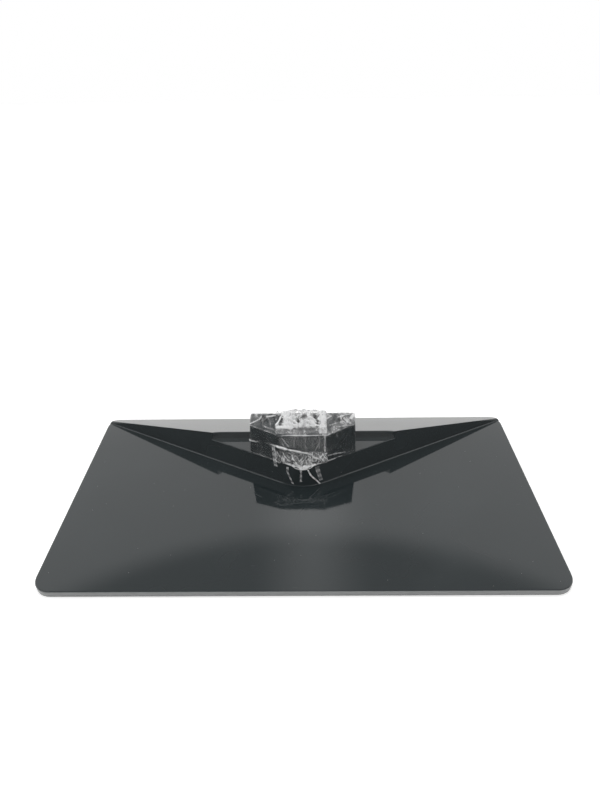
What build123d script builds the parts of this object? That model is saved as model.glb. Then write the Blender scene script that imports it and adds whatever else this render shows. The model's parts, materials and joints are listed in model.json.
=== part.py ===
from build123d import *
import os
from math import cos, radians, sin, tan

# Table-top stand base of a flat television, in millimetres.
# Origin: on the floor under the middle of the plate. The front faces -Y and +Z is up.

# Plate
base_width = 600
base_depth = 320
foot_stand = 2            # height of the rubber feet below the steel plate
edge_height = 7.5         # height of the plate's visible edge
front_corner_radius = 22
rear_corner_radius = 20
top_edge_radius = 1.5
cover_wall = 2.5
overrun = 10              # how far cutting and trimming bodies run past what they cut
touching = 0.01           # points nearer than this count as touching
upright_share = 0.9       # an edge with more of its length upwards than this counts as upright

# Chevron riser
chevron_tip_from_rear = 161.8    # from the plate's rear edge to the crease's tip, before its rounding
chevron_end_from_rear = 10       # the same to the crease's ends, at the plate's sides
facet_angle = 76                 # slope of the riser's front faces
crease_nose_radius = 60          # rounding of the chevron's tip at the plate
rim_nose_radius = 22             # the same at the pocket's floor
crease_fillet_radius = 2
crease_fillet_steps = 4
crease_sink = 0.3                # how far the fillet's body runs into the plate and the facets
riser_root = 20                  # how far the riser's body is carried down into the plate
riser_reach = 14                 # how far it is carried up past the pocket's floor
riser_end_radius = 3             # rounding of the riser's ends above the plate's sides
riser_end_steps = 4
rear_slope_angle = 25
rear_edge_drop = 1.6             # rear slope's depth below the plate's top at the rear edge
ridge_strip_width = 7            # flatter strip along the ridge, measured on the rear slope
ridge_strip_drop = 1.8           # the same, measured down the facet

# Pocket in the riser's top
pocket_floor_height = 28.5       # above the plate's top
pocket_end_gap = 1               # from the pocket's sides to where its rear wall would meet the facets
pocket_corner_radius = 20
pocket_behind_axis = 33
swivel_from_rear = 118           # swivel axis to the plate's rear edge
swing_clearance = 2.5            # between the turning neck's rear corners and the riser
pocket_rim_radius = 1.2
recess_corner_radius = 5

# Neck, all depths counted from the swivel axis
neck_gap = 1                     # between the neck and the pocket's floor
neck_top_rear_height = 77        # above the plate's top
neck_top_angle = 16.5
neck_half_width_low = 71
neck_side_lean = 1.4             # how far each side leans in up to its top
neck_rear_depth = 24
neck_side_depth_low = 1
neck_side_depth_high = -4.7
nose_half_width_low = 31
nose_half_width_high = 30
nose_depth_low = 22
nose_depth_high = 12.5
neck_wall = 2.5
neck_edge_radius = 1.5
neck_corner_radius = 2.5
panel_fit = 0.3

# Steel plate, feet and screws
steel_thickness = 2
steel_fit = 0.5
steel_corner_relief = 3
foot_radius = 10
foot_edge_radius = 0.6
foot_side_inset = 32
foot_end_inset = 28
foot_mid_x = 105
boss_radius = 4.5
screw_radius = 1.5
screw_head_radius = 3.2
screw_head_height = 1.4
screw_length = 6
screw_side_inset = 62
screw_end_inset = 16
screw_mid_x = 150
thread_fit = 0.05
hole_spare_depth = 0.2
rib_thickness = 1.6
rib_gap = 0.3
cross_rib_x = 82
outer_rib_x = 190
front_rib_ahead = 112            # of the swivel axis
rear_rib_behind = 62

# Swivel
tower_radius = 20
tower_wall = 2
tower_flange_radius = 46
tower_fit = 0.6
tower_screw_circle = 38
tower_screw_count = 6
tower_screw_radius = 2
tower_screw_head_radius = 3.8
pivot_radius = 6
pivot_fit = 0.08
pivot_head_radius = 10
pivot_head_height = 5
pivot_end = 1.6
washer_bore_fit = 0.3
washer_thickness = 1
washer_radius_low = 13
washer_radius_high = 12
disc_thickness = 3
disc_radius = 21
disc_front_flat = 18
stop_circle = 16
stop_pin_radius = 2
stop_pin_reach = 0.4
stop_slot_fit = 0.3
swivel_limit = 20                # degrees each way
spring_height = 1.4
spring_thickness = 0.8
retaining_thickness = 2
nut_radius = 10
nut_height = 8

# Neck bracket and what it carries
bracket_thickness = 2.5
bracket_side_room = 5            # between the bracket's cheeks and the cover's side walls
bracket_foot_depth = 0           # front of the foot's straight sides, behind the axis
bracket_front_depth = 5          # front of the cheeks and the top plate, behind the axis
bracket_rear_depth = 20
bracket_nose_half_width = 25
bracket_nose_depth = 17.5
bracket_bore_radius = 12.8
bracket_below_top = 14           # bracket's top face below the neck's rear top edge
tab_width = 12
tab_height = 7
tab_bottom_shares = (0.05, 0.5)  # foot of each tab up the bracket's height
bracket_screw_circle = 16.5
bracket_screw_angles = (0, 180, 225, 315)
bracket_screw_radius = 2
bracket_screw_head_radius = 3.6
tv_bolt_radius = 2.1             # tapping size of the television's bolts
tv_bolt_outer_inset = 11.5       # in from the outer faces of the bracket's cheeks
tv_bolt_inner_x = 22
tv_bolt_depth = 15
weld_nut_radius = 4.6
weld_nut_height = 4
access_hole_radius = 5.5
tongue_half_width = 10
tongue_thickness = 2.5
tongue_depth = 10
tongue_height = 20               # above the bracket's top
tongue_corner_radius = 4
tongue_fit = 0.8
tongue_foot = 7
cover_screw_depth = 9
cover_screw_length = 7
cover_boss_radius = 3.6
panel_screw_inset = 9.5          # in from the outer faces of the bracket's cheeks
panel_screw_length = 6
glide_x = 50
glide_depth = 14
glide_radius = 5
glide_gap = 0.3

# Protective film round the neck
film_width = 66
film_gap = 0.6
film_thickness = 1.6
film_bulge = 6
film_skirt = 16
film_lift = 0.6

# Levels and places worked out from the sizes above
plate_bottom = foot_stand
plate_top = plate_bottom + edge_height
steel_top = plate_bottom + steel_thickness
front_y = -base_depth / 2
rear_y = base_depth / 2
axis_y = rear_y - swivel_from_rear
pocket_floor = plate_top + pocket_floor_height
pocket_rear_y = axis_y + pocket_behind_axis
neck_bottom = pocket_floor + neck_gap
neck_corner_fall = (neck_rear_depth + neck_side_depth_high) * tan(radians(neck_top_angle))
neck_corner_top = plate_top + neck_top_rear_height - neck_corner_fall
neck_rear_y = axis_y + neck_rear_depth
bracket_top = plate_top + neck_top_rear_height - bracket_below_top
bracket_bottom = neck_bottom + disc_thickness
tab_bottoms = [bracket_bottom + share * (bracket_top - bracket_bottom) for share in tab_bottom_shares]
neck_half_width_high = neck_half_width_low - neck_side_lean
bracket_half_width = neck_half_width_low - neck_wall - bracket_side_room
tv_bolt_outer_x = bracket_half_width - tv_bolt_outer_inset
cover_screw_x = (tv_bolt_inner_x + tv_bolt_outer_x) / 2
panel_screw_x = bracket_half_width - panel_screw_inset
tongue_top = bracket_top + tongue_height
rear_slope = tan(radians(rear_slope_angle))
rear_crest_y = rear_y - rear_edge_drop / rear_slope
chevron_tip_y = rear_y - chevron_tip_from_rear
chevron_slope = (chevron_tip_from_rear - chevron_end_from_rear) / (base_width / 2)
chevron_cosine = 1 / (1 + chevron_slope ** 2) ** 0.5
rim_tip_y = chevron_tip_y + pocket_floor_height / tan(radians(facet_angle)) / chevron_cosine
pocket_half_width = (pocket_rear_y - rim_tip_y) / chevron_slope - pocket_end_gap
swing_radius = (neck_half_width_low ** 2 + neck_rear_depth ** 2) ** 0.5 + swing_clearance


def solid_box(x0, x1, y0, y1, z0, z1):
    """Box between two opposite corners."""
    return Pos((x0 + x1) / 2, (y0 + y1) / 2, (z0 + z1) / 2) * Box(x1 - x0, y1 - y0, z1 - z0)


def disc(x, y, z0, z1, radius):
    """Upright cylinder from z0 to z1."""
    return Pos(x, y, (z0 + z1) / 2) * Cylinder(radius, z1 - z0)


def hexagon(x, y, z0, z1, radius):
    """Upright six-sided bar from z0 to z1."""
    return Pos(x, y, z0) * extrude(RegularPolygon(radius, 6), z1 - z0)


def side_profile(points, half_width):
    """Solid with the given (y, z) outline, running to half_width on both sides of the middle."""
    return extrude(Plane.YZ * make_face(Polyline(*points, close=True)), half_width, both=True)


def group(pieces):
    """Separate solids that share one node."""
    return Compound(children=[piece.solid() for piece in pieces])


def plate_outline(inset, front_radius, rear_radius):
    """Plan of the plate with its four rounded corners."""
    plan = Rectangle(base_width - 2 * inset, base_depth - 2 * inset)
    corners = plan.vertices().sort_by(Axis.Y)
    plan = fillet(corners[:2], front_radius)
    return fillet(plan.vertices().sort_by(Axis.Y)[-2:], rear_radius)


def plate_prism(inset, z0, z1):
    """The plate's outline as an upright prism."""
    plan = plate_outline(inset, front_corner_radius - inset, rear_corner_radius - inset)
    return Pos(0, 0, z0) * extrude(plan, z1 - z0)


def roof_height(y, inset):
    """Height of the rear slope at a depth, lowered by inset."""
    return plate_top + (rear_crest_y - y) * rear_slope - inset / cos(radians(rear_slope_angle))


def rear_roof(inset):
    """Everything under the rear slope, lowered by inset."""
    behind = rear_y + overrun
    ahead = front_y - overrun
    return side_profile(
        [(behind, -overrun), (behind, roof_height(behind, inset)), (ahead, roof_height(ahead, inset)),
         (ahead, -overrun)], base_width / 2 + overrun)


def chevron_plan(height, inset):
    """Plan of the riser at a height above the plate's top, with its rounded nose."""
    set_back = (height / tan(radians(facet_angle)) + inset / sin(radians(facet_angle))) / chevron_cosine
    tip_y = chevron_tip_y + set_back
    reach = base_width / 2 + overrun
    behind = rear_y + overrun
    arm_y = tip_y + reach * chevron_slope
    plan = make_face(Polyline(
        (0, tip_y), (reach, arm_y), (reach, arm_y + behind), (-reach, arm_y + behind), (-reach, arm_y),
        close=True))
    radius_fall = (crease_nose_radius - rim_nose_radius) / pocket_floor_height
    radius = crease_nose_radius - radius_fall * height - inset
    return fillet(plan.vertices().sort_by(Axis.Y)[:1], radius)


def riser(inset):
    """The chevron riser before its pocket: two front facets and the rear slope."""
    low = -riser_root
    high = pocket_floor_height + riser_reach
    body = loft([
        Pos(0, 0, plate_top + low) * chevron_plan(low, inset),
        Pos(0, 0, plate_top + high) * chevron_plan(high, inset)], ruled=True)
    return body & rear_roof(inset)


def ridge_wedge(side):
    """Wedge whose removal leaves a flatter strip along one arm's ridge."""
    lean = radians(facet_angle)
    roof = Vector(0, sin(radians(rear_slope_angle)), cos(radians(rear_slope_angle)))
    facet = Vector(side * chevron_slope * chevron_cosine * sin(lean), -chevron_cosine * sin(lean), cos(lean))
    along = facet.cross(roof).normalized() * side
    facet_rise = tan(lean) * chevron_cosine
    start_y = (facet_rise * chevron_tip_y + rear_slope * rear_crest_y) / (facet_rise + rear_slope)
    start = Vector(0, start_y, roof_height(start_y, 0))
    on_roof = start + along.cross(roof) * -side * ridge_strip_width
    on_facet = start + along.cross(facet) * side * ridge_strip_drop
    outside = start + (roof + facet) * ridge_strip_width
    return extrude(make_face(Polyline(on_roof, on_facet, outside, close=True)), base_width, dir=along)


def riser_ends():
    """Everything inside the plate's outline, rounded inwards above the plate's top, in straight steps."""
    sections = [(0, plate_bottom), (0, plate_top)]
    for step in range(1, riser_end_steps + 1):
        turn = radians(90 * step / riser_end_steps)
        sections.append((riser_end_radius * (1 - cos(turn)), plate_top + riser_end_radius * sin(turn)))
    sections.append((riser_end_radius, pocket_floor + riser_reach))
    return loft([Pos(0, 0, height) * plate_outline(inset, front_corner_radius - inset, rear_corner_radius - inset)
                 for inset, height in sections], ruled=True)


def crease_fillet():
    """Hollow fillet along the foot of the facets, in straight steps."""
    slope = tan(radians(facet_angle))
    start = -crease_fillet_radius / tan(radians(90 - facet_angle / 2))
    sections = [(-crease_sink, start)]
    for step in range(crease_fillet_steps + 1):
        turn = radians(facet_angle * step / crease_fillet_steps)
        height = crease_fillet_radius * (1 - cos(turn))
        sections.append((height, start + crease_fillet_radius * sin(turn) - height / slope))
    sections.append((crease_fillet_radius + crease_sink, crease_sink))
    return loft([Pos(0, 0, plate_top + height) * chevron_plan(height, set_back * sin(radians(facet_angle)))
                 for height, set_back in sections], ruled=True)


def pocket(grow):
    """Space cut into the riser's top, grown by a wall thickness."""
    half = pocket_half_width + grow
    behind = pocket_rear_y + grow
    plan = Pos(0, (front_y + behind) / 2) * Rectangle(2 * half, behind - front_y)
    plan = fillet(plan.vertices().sort_by(Axis.Y)[-2:], pocket_corner_radius + grow)
    plan = plan + Pos(0, axis_y) * Circle(swing_radius + grow)
    depth = riser_reach + grow + overrun
    return Pos(0, 0, pocket_floor - grow) * extrude(plan, depth)


def base_solid(inset):
    """Filled body of the cover: plate and riser, shrunk by inset on every side but its bottom."""
    bottom = plate_bottom - (overrun if inset else 0)
    slab = plate_prism(inset, bottom, plate_top - inset)
    if not inset:
        slab = fillet(slab.faces().sort_by(Axis.Z)[-1].edges(), top_edge_radius)
    raised = riser(inset)
    column = plate_prism(inset, bottom, pocket_floor + riser_reach)
    if not inset:
        raised = raised - ridge_wedge(-1) - ridge_wedge(1) + crease_fillet()
        column = riser_ends()
    return (slab + (raised & column)) & rear_roof(inset)


def cover_outside():
    """The cover's filled body with its pocket and the rounded rim of the pocket."""
    body = base_solid(0)
    cut = body - pocket(0)
    corners = [edge for edge in cut.edges()
               if abs(edge.tangent_at(0.5).Z) > upright_share
               and abs(edge.center().Y - pocket_rear_y) < touching
               and abs((edge.center().X ** 2 + pocket_behind_axis ** 2) ** 0.5 - swing_radius) < touching]
    cut = fillet(corners, recess_corner_radius)
    rim = [edge for edge in cut.edges()
           if edge.bounding_box().min.Z > pocket_floor - pocket_rim_radius
           and not body.is_inside(edge @ 0.5 + Vector(0, 0, pocket_rim_radius))]
    return fillet(rim, pocket_rim_radius)


def base_screw_places():
    """Plan places of the screws that hold the steel plate."""
    x_corner = base_width / 2 - screw_side_inset
    y_edge = base_depth / 2 - screw_end_inset
    return [(x, y) for x in (-x_corner, -screw_mid_x, screw_mid_x, x_corner) for y in (-y_edge, y_edge)] \
        + [(0, -y_edge), (0, y_edge)]


def tower_screw_places():
    """Plan places of the screws that hold the swivel tower."""
    return [(tower_screw_circle * cos(radians(angle)), axis_y + tower_screw_circle * sin(radians(angle)))
            for angle in [360 * i / tower_screw_count for i in range(tower_screw_count)]]


def foot_places():
    """Plan places of the rubber feet."""
    x_corner = base_width / 2 - foot_side_inset
    y_edge = base_depth / 2 - foot_end_inset
    return [(x, y) for x in (-x_corner, -foot_mid_x, foot_mid_x, x_corner) for y in (-y_edge, y_edge)]


def cover_ribs(cavity):
    """Stiffening ribs that follow the cover's inner shape."""
    low = steel_top + rib_gap
    high = pocket_floor + riser_reach
    half_x = base_width / 2
    half = rib_thickness / 2
    walls = [solid_box(x - half, x + half, front_y, rear_y, low, high)
             for x in (-outer_rib_x, -cross_rib_x, cross_rib_x, outer_rib_x)]
    walls += [solid_box(-half_x, half_x, y - half, y + half, low, high)
              for y in (axis_y - front_rib_ahead, axis_y + rear_rib_behind)]
    ribs = walls[0]
    for wall in walls[1:]:
        ribs = ribs + wall
    return ribs & cavity


def base_cover():
    """Glossy moulded cover: plate, chevron riser and pocket as one thin shell with ribs and bosses."""
    cavity = base_solid(cover_wall) - pocket(cover_wall)
    cover = cover_outside() - cavity + cover_ribs(cavity)
    inside = solid_box(-base_width, base_width, front_y, rear_y, steel_top, pocket_floor) & cavity
    for x, y in base_screw_places():
        cover = cover + (disc(x, y, steel_top, pocket_floor, boss_radius) & inside)
        hole_top = plate_bottom + screw_length + hole_spare_depth
        cover = cover - disc(x, y, plate_bottom, hole_top, screw_radius + thread_fit)
    opening = tower_radius + tower_fit
    return cover - disc(0, axis_y, steel_top, pocket_floor + overrun, opening)


def base_plate():
    """Steel plate that closes the cover from below."""
    inset = cover_wall + steel_fit
    front_radius = front_corner_radius - steel_corner_relief
    plan = plate_outline(inset, front_radius, rear_corner_radius - steel_corner_relief)
    plate = Pos(0, 0, plate_bottom) * extrude(plan, steel_thickness)
    for x, y in base_screw_places():
        plate = plate - disc(x, y, plate_bottom, steel_top, screw_radius + thread_fit)
    for x, y in tower_screw_places():
        plate = plate - disc(x, y, plate_bottom, steel_top, tower_screw_radius + thread_fit)
    return plate


def rubber_feet():
    """Eight round pads under the steel plate."""
    feet = []
    for x, y in foot_places():
        foot = disc(x, y, 0, foot_stand, foot_radius)
        feet.append(fillet(foot.edges().group_by(Axis.Z)[0], foot_edge_radius))
    return group(feet)


def headed_screw(x, y, seat, length, radius, head_radius, head_height):
    """Screw whose head hangs below its seat and whose shank goes up."""
    head = disc(x, y, seat - head_height, seat, head_radius)
    head = fillet(head.edges().group_by(Axis.Z)[0], head_height / 2)
    return head + disc(x, y, seat, seat + length, radius)


def base_plate_screws():
    """Screws from below that hold the steel plate to the cover's bosses."""
    return group([headed_screw(x, y, plate_bottom, screw_length, screw_radius, screw_head_radius,
                               screw_head_height) for x, y in base_screw_places()])


def swivel_tower():
    """Steel tower that carries the neck: flange, tube and top plate."""
    flange = disc(0, axis_y, steel_top, steel_top + tower_wall, tower_flange_radius)
    tube = disc(0, axis_y, steel_top, pocket_floor, tower_radius)
    hollow = disc(0, axis_y, steel_top, pocket_floor - tower_wall, tower_radius - tower_wall)
    tower = flange + tube - hollow
    tower = tower - disc(0, axis_y, pocket_floor - tower_wall, pocket_floor, pivot_radius + thread_fit)
    tower = tower - disc(0, axis_y + stop_circle, pocket_floor - tower_wall, pocket_floor,
                         stop_pin_radius + thread_fit)
    for x, y in tower_screw_places():
        tower = tower - disc(x, y, steel_top, steel_top + tower_wall, tower_screw_radius + thread_fit)
    return tower


def tower_screws():
    """Screws from below that hold the tower's flange to the steel plate."""
    length = steel_thickness + tower_wall
    return group([headed_screw(x, y, plate_bottom, length, tower_screw_radius, tower_screw_head_radius,
                               screw_head_height) for x, y in tower_screw_places()])


# Levels of the swivel's stack, from the pocket's floor up
disc_bottom = pocket_floor + washer_thickness
disc_top = disc_bottom + disc_thickness
spring_bottom = disc_top + washer_thickness
retaining_bottom = spring_bottom + spring_height
nut_bottom = retaining_bottom + retaining_thickness
nut_top = nut_bottom + nut_height


def ring(z0, z1, outer_radius):
    """Washer on the swivel axis."""
    return disc(0, axis_y, z0, z1, outer_radius) - disc(0, axis_y, z0, z1, pivot_radius + washer_bore_fit)


def pivot_bolt():
    """Bolt on the swivel axis, its head under the tower's top plate."""
    seat = pocket_floor - tower_wall
    head = hexagon(0, axis_y, seat - pivot_head_height, seat, pivot_head_radius)
    return head + disc(0, axis_y, seat, nut_top + pivot_end, pivot_radius)


def lock_nut():
    """Self-locking nut that sets the swivel's friction."""
    nut = hexagon(0, axis_y, nut_bottom, nut_top, nut_radius)
    return nut - disc(0, axis_y, nut_bottom, nut_top, pivot_radius + thread_fit)


def disc_spring():
    """Conical spring washer under the retaining washer."""
    inner = pivot_radius + washer_bore_fit
    rise = spring_height - spring_thickness
    outer = washer_radius_high
    section = make_face(Polyline(
        (inner, spring_bottom + rise), (inner, spring_bottom + spring_height),
        (outer, spring_bottom + spring_thickness), (outer, spring_bottom), close=True))
    return Pos(0, axis_y, 0) * revolve(Plane.XZ * section, Axis.Z)


def stop_pin():
    """Pin in the tower's top plate that ends the swivel's travel."""
    return disc(0, axis_y + stop_circle, pocket_floor - tower_wall, disc_top - stop_pin_reach, stop_pin_radius)


def swivel_disc():
    """Turning plate of the neck, with the arc slot for the stop pin."""
    plate = disc(0, axis_y, disc_bottom, disc_top, disc_radius)
    plate = plate & solid_box(-disc_radius, disc_radius, axis_y - disc_front_flat, axis_y + disc_radius,
                              disc_bottom, disc_top)
    plate = plate - disc(0, axis_y, disc_bottom, disc_top, pivot_radius + pivot_fit)
    path = CenterArc((0, 0), stop_circle, 90 - swivel_limit, 2 * swivel_limit)
    slot = SlotArc(path, 2 * (stop_pin_radius + stop_slot_fit))
    plate = plate - Pos(0, axis_y, disc_bottom) * extrude(slot, disc_thickness)
    for x, y in bracket_screw_places():
        plate = plate - bracket_screw(x, y, thread_fit)
    return plate


def bracket_screw_places():
    """Plan places of the screws between the disc and the bracket."""
    return [(bracket_screw_circle * cos(radians(angle)), axis_y + bracket_screw_circle * sin(radians(angle)))
            for angle in bracket_screw_angles]


def bracket_screw(x, y, grow):
    """Countersunk screw, flush with the disc's underside, grown by a fit."""
    radius = bracket_screw_radius + grow
    head_radius = bracket_screw_head_radius + grow
    depth = head_radius - radius
    section = make_face(Polyline(
        (0, disc_bottom), (head_radius, disc_bottom), (radius, disc_bottom + depth),
        (radius, bracket_bottom + bracket_thickness), (0, bracket_bottom + bracket_thickness), close=True))
    return Pos(x, y, 0) * revolve(Plane.XZ * section, Axis.Z)


def bracket_screws():
    """Four screws up through the disc into the bracket's foot."""
    return group([bracket_screw(x, y, 0) for x, y in bracket_screw_places()])


def tv_bolt_places():
    """Plan places of the television's bolts."""
    return [(side * x, axis_y + tv_bolt_depth) for side in (-1, 1) for x in (tv_bolt_inner_x, tv_bolt_outer_x)]


def cover_screw_places():
    """Plan places of the two screws up into the neck's front cover."""
    return [(x, axis_y + cover_screw_depth) for x in (-cover_screw_x, cover_screw_x)]


def panel_screw_places():
    """Places (x, z) of the four screws through the neck's rear cover."""
    return [(x, bottom + tab_height / 2) for x in (-panel_screw_x, panel_screw_x) for bottom in tab_bottoms]


def level_disc(x, z, y0, y1, radius):
    """Cylinder along Y from y0 to y1."""
    return Pos(x, (y0 + y1) / 2, z) * Rot(90, 0, 0) * Cylinder(radius, y1 - y0)


def neck_bracket():
    """Welded steel box in the neck: foot, two cheeks, a top plate and four rear tabs."""
    front = axis_y + bracket_front_depth
    rear = axis_y + bracket_rear_depth
    half = bracket_half_width
    foot_front = axis_y + bracket_foot_depth
    nose = axis_y - bracket_nose_depth
    foot_plan = make_face(Polyline(
        (half, rear), (half, foot_front), (bracket_nose_half_width, nose),
        (-bracket_nose_half_width, nose), (-half, foot_front), (-half, rear), close=True))
    bracket = Pos(0, 0, bracket_bottom) * extrude(foot_plan, bracket_thickness)
    bracket = bracket - disc(0, axis_y, bracket_bottom, bracket_bottom + bracket_thickness, bracket_bore_radius)
    bracket = bracket + solid_box(-half, half, front, rear, bracket_top - bracket_thickness, bracket_top)
    for side in (-1, 1):
        inner, outer = sorted((side * (half - bracket_thickness), side * half), key=abs)
        tip = side * (half - bracket_thickness - tab_width)
        low, high = sorted((inner, outer))
        bracket = bracket + solid_box(low, high, front, rear, bracket_bottom, bracket_top)
        low, high = sorted((tip, inner))
        for bottom in tab_bottoms:
            bracket = bracket + solid_box(low, high, rear - bracket_thickness, rear, bottom, bottom + tab_height)
    for x, y in bracket_screw_places():
        bracket = bracket - bracket_screw(x, y, thread_fit)
    for x, y in tv_bolt_places():
        bracket = bracket - disc(x, y, bracket_top - bracket_thickness, bracket_top, tv_bolt_radius)
    for x, y in cover_screw_places():
        bracket = bracket - disc(x, y, bracket_top - bracket_thickness, bracket_top, screw_radius + thread_fit)
    for x, z in panel_screw_places():
        bracket = bracket - level_disc(x, z, rear - bracket_thickness, rear, screw_radius + thread_fit)
    return bracket


def weld_nuts():
    """Four hexagon nuts under the bracket's top plate."""
    top = bracket_top - bracket_thickness
    return group([hexagon(x, y, top - weld_nut_height, top, weld_nut_radius)
                  - disc(x, y, top - weld_nut_height, top, tv_bolt_radius) for x, y in tv_bolt_places()])


def locating_tongue():
    """Upright steel tab on the bracket's top, over which the television's bracket drops."""
    front = axis_y + tongue_depth
    plan = Pos(0, (bracket_top + tongue_top) / 2) * Rectangle(2 * tongue_half_width, tongue_height)
    plan = fillet(plan.vertices().sort_by(Axis.Y)[-2:], tongue_corner_radius)
    tab = Pos(0, front + tongue_thickness, 0) * extrude(Plane.XZ * plan, tongue_thickness)
    foot = solid_box(-tongue_half_width, tongue_half_width, front - tongue_foot, front,
                     bracket_top, bracket_top + tongue_thickness)
    return tab + foot


def neck_roof(inset):
    """Everything under the neck's sloping top, lowered by inset."""
    slope = tan(radians(neck_top_angle))

    def height(y):
        top = plate_top + neck_top_rear_height
        return top - (neck_rear_y - y) * slope - inset / cos(radians(neck_top_angle))
    behind = neck_rear_y + overrun
    ahead = axis_y - neck_half_width_low
    return side_profile(
        [(behind, -overrun), (behind, height(behind)), (ahead, height(ahead)), (ahead, -overrun)],
        neck_half_width_low + overrun)


def neck_plan(height, inset, open_rear):
    """Plan of the neck at a height, with straight sides and a blunt faceted nose."""
    share = (height - neck_bottom) / (neck_corner_top - neck_bottom)

    def between(low, high):
        return low + (high - low) * share
    half = between(neck_half_width_low, neck_half_width_high)
    side_y = axis_y - between(neck_side_depth_low, neck_side_depth_high)
    nose_half = between(nose_half_width_low, nose_half_width_high)
    nose_y = axis_y - between(nose_depth_low, nose_depth_high)
    plan = make_face(Polyline(
        (half, neck_rear_y), (half, side_y), (nose_half, nose_y), (-nose_half, nose_y), (-half, side_y),
        (-half, neck_rear_y), close=True))
    if inset:
        plan = offset(plan, -inset, kind=Kind.INTERSECTION)
    if open_rear:
        back = neck_rear_y + overrun
        width = 2 * (half - inset)
        plan = plan + Pos(0, (axis_y + neck_rear_depth / 2 + back) / 2) * Rectangle(
            width, back - axis_y - neck_rear_depth / 2)
    return plan.face()


def neck_block(inset, open_rear):
    """Filled body of the neck, shrunk by inset, with its rear left open if asked."""
    low = neck_bottom - (overrun if inset else 0)
    high = plate_top + neck_top_rear_height + overrun
    body = loft([Pos(0, 0, low) * neck_plan(low, inset, open_rear),
                 Pos(0, 0, high) * neck_plan(high, inset, open_rear)], ruled=True)
    return body & neck_roof(inset)


def neck_front_cover():
    """Glossy shell round the neck's front, sides and top, open at its rear and bottom."""
    block = neck_block(0, False)
    upright = [edge for edge in block.edges() if abs(edge.tangent_at(0.5).Z) > upright_share]
    block = fillet(upright, neck_corner_radius)
    block = fillet(block.faces().sort_by(Axis.Z)[-1].edges(), neck_edge_radius)
    cavity = neck_block(neck_wall, True)
    cover = block - cavity
    for x, y in cover_screw_places():
        cover = cover + (disc(x, y, bracket_top, plate_top + neck_top_rear_height, cover_boss_radius) & cavity)
        cover = cover - disc(x, y, bracket_top - overrun, bracket_top + cover_screw_length - bracket_thickness
                             + hole_spare_depth, screw_radius + thread_fit)
    above = plate_top + neck_top_rear_height + overrun
    for x, y in tv_bolt_places():
        cover = cover - disc(x, y, bracket_top, above, access_hole_radius)
    slot_y = axis_y + tongue_depth
    slot_half = tongue_half_width + tongue_fit
    return cover - solid_box(-slot_half, slot_half, slot_y - tongue_fit,
                             slot_y + tongue_thickness + tongue_fit, bracket_top, above)


def neck_rear_cover():
    """Plain panel that closes the neck's rear, with bosses that meet the bracket's tabs."""
    front = neck_rear_y - neck_wall
    panel = neck_block(neck_wall + panel_fit, True) & solid_box(
        -base_width, base_width, front, neck_rear_y, neck_bottom, plate_top + neck_top_rear_height)
    for x, z in panel_screw_places():
        panel = panel + level_disc(x, z, axis_y + bracket_rear_depth, front, cover_boss_radius)
        panel = panel - level_disc(x, z, axis_y + bracket_rear_depth, neck_rear_y, screw_radius + thread_fit)
    return panel


def front_cover_screws():
    """Two screws up through the bracket's top plate into the front cover."""
    seat = bracket_top - bracket_thickness
    return group([headed_screw(x, y, seat, cover_screw_length, screw_radius, screw_head_radius,
                               screw_head_height) for x, y in cover_screw_places()])


def rear_cover_screws():
    """Four screws through the rear cover into the bracket's tabs."""
    screws = []
    for x, z in panel_screw_places():
        head = level_disc(x, z, neck_rear_y, neck_rear_y + screw_head_height, screw_head_radius)
        head = fillet(head.edges().group_by(Axis.Y)[-1], screw_head_height / 2)
        screws.append(head + level_disc(x, z, neck_rear_y - panel_screw_length, neck_rear_y, screw_radius))
    return group(screws)


def glide_pads():
    """Two nylon pads under the bracket's foot that slide on the pocket's floor."""
    return group([disc(x, axis_y + glide_depth, pocket_floor + glide_gap, bracket_bottom, glide_radius)
                  for x in (-glide_x, glide_x)])


def film_hump(gap, bulge):
    """Side outline of the space that the film goes round, grown by a gap and bulged at the nose."""
    slope = tan(radians(neck_top_angle))
    low = pocket_floor + film_lift
    rear = neck_rear_y + gap
    top_rear = plate_top + neck_top_rear_height + gap
    nose_low = axis_y - nose_depth_low - gap
    nose_high = axis_y - nose_depth_high - gap
    shoulder = top_rear - (rear - nose_high) * slope
    tongue_front = axis_y + tongue_depth - gap
    tongue_rear = axis_y + tongue_depth + tongue_thickness + gap
    over_tongue = tongue_top + gap
    middle = (low + shoulder) / 2
    return [
        (nose_low - bulge / 2, low), (nose_low - bulge, middle), (nose_high - bulge / 2, shoulder),
        (tongue_front, over_tongue), (tongue_rear, over_tongue), (rear, top_rear), (rear, top_rear - film_skirt),
        (tongue_front, top_rear - film_skirt - bulge / 2), (tongue_front, low)]


def protective_film():
    """Band of stretch film over the neck's nose, top and rear edge."""
    outer = side_profile(film_hump(film_gap + film_thickness, film_bulge), film_width / 2)
    inner = side_profile(film_hump(film_gap, film_bulge), film_width)
    skirt = solid_box(-film_width, film_width, front_y, rear_y, 0, pocket_floor + film_lift)
    return outer - inner - skirt


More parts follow.
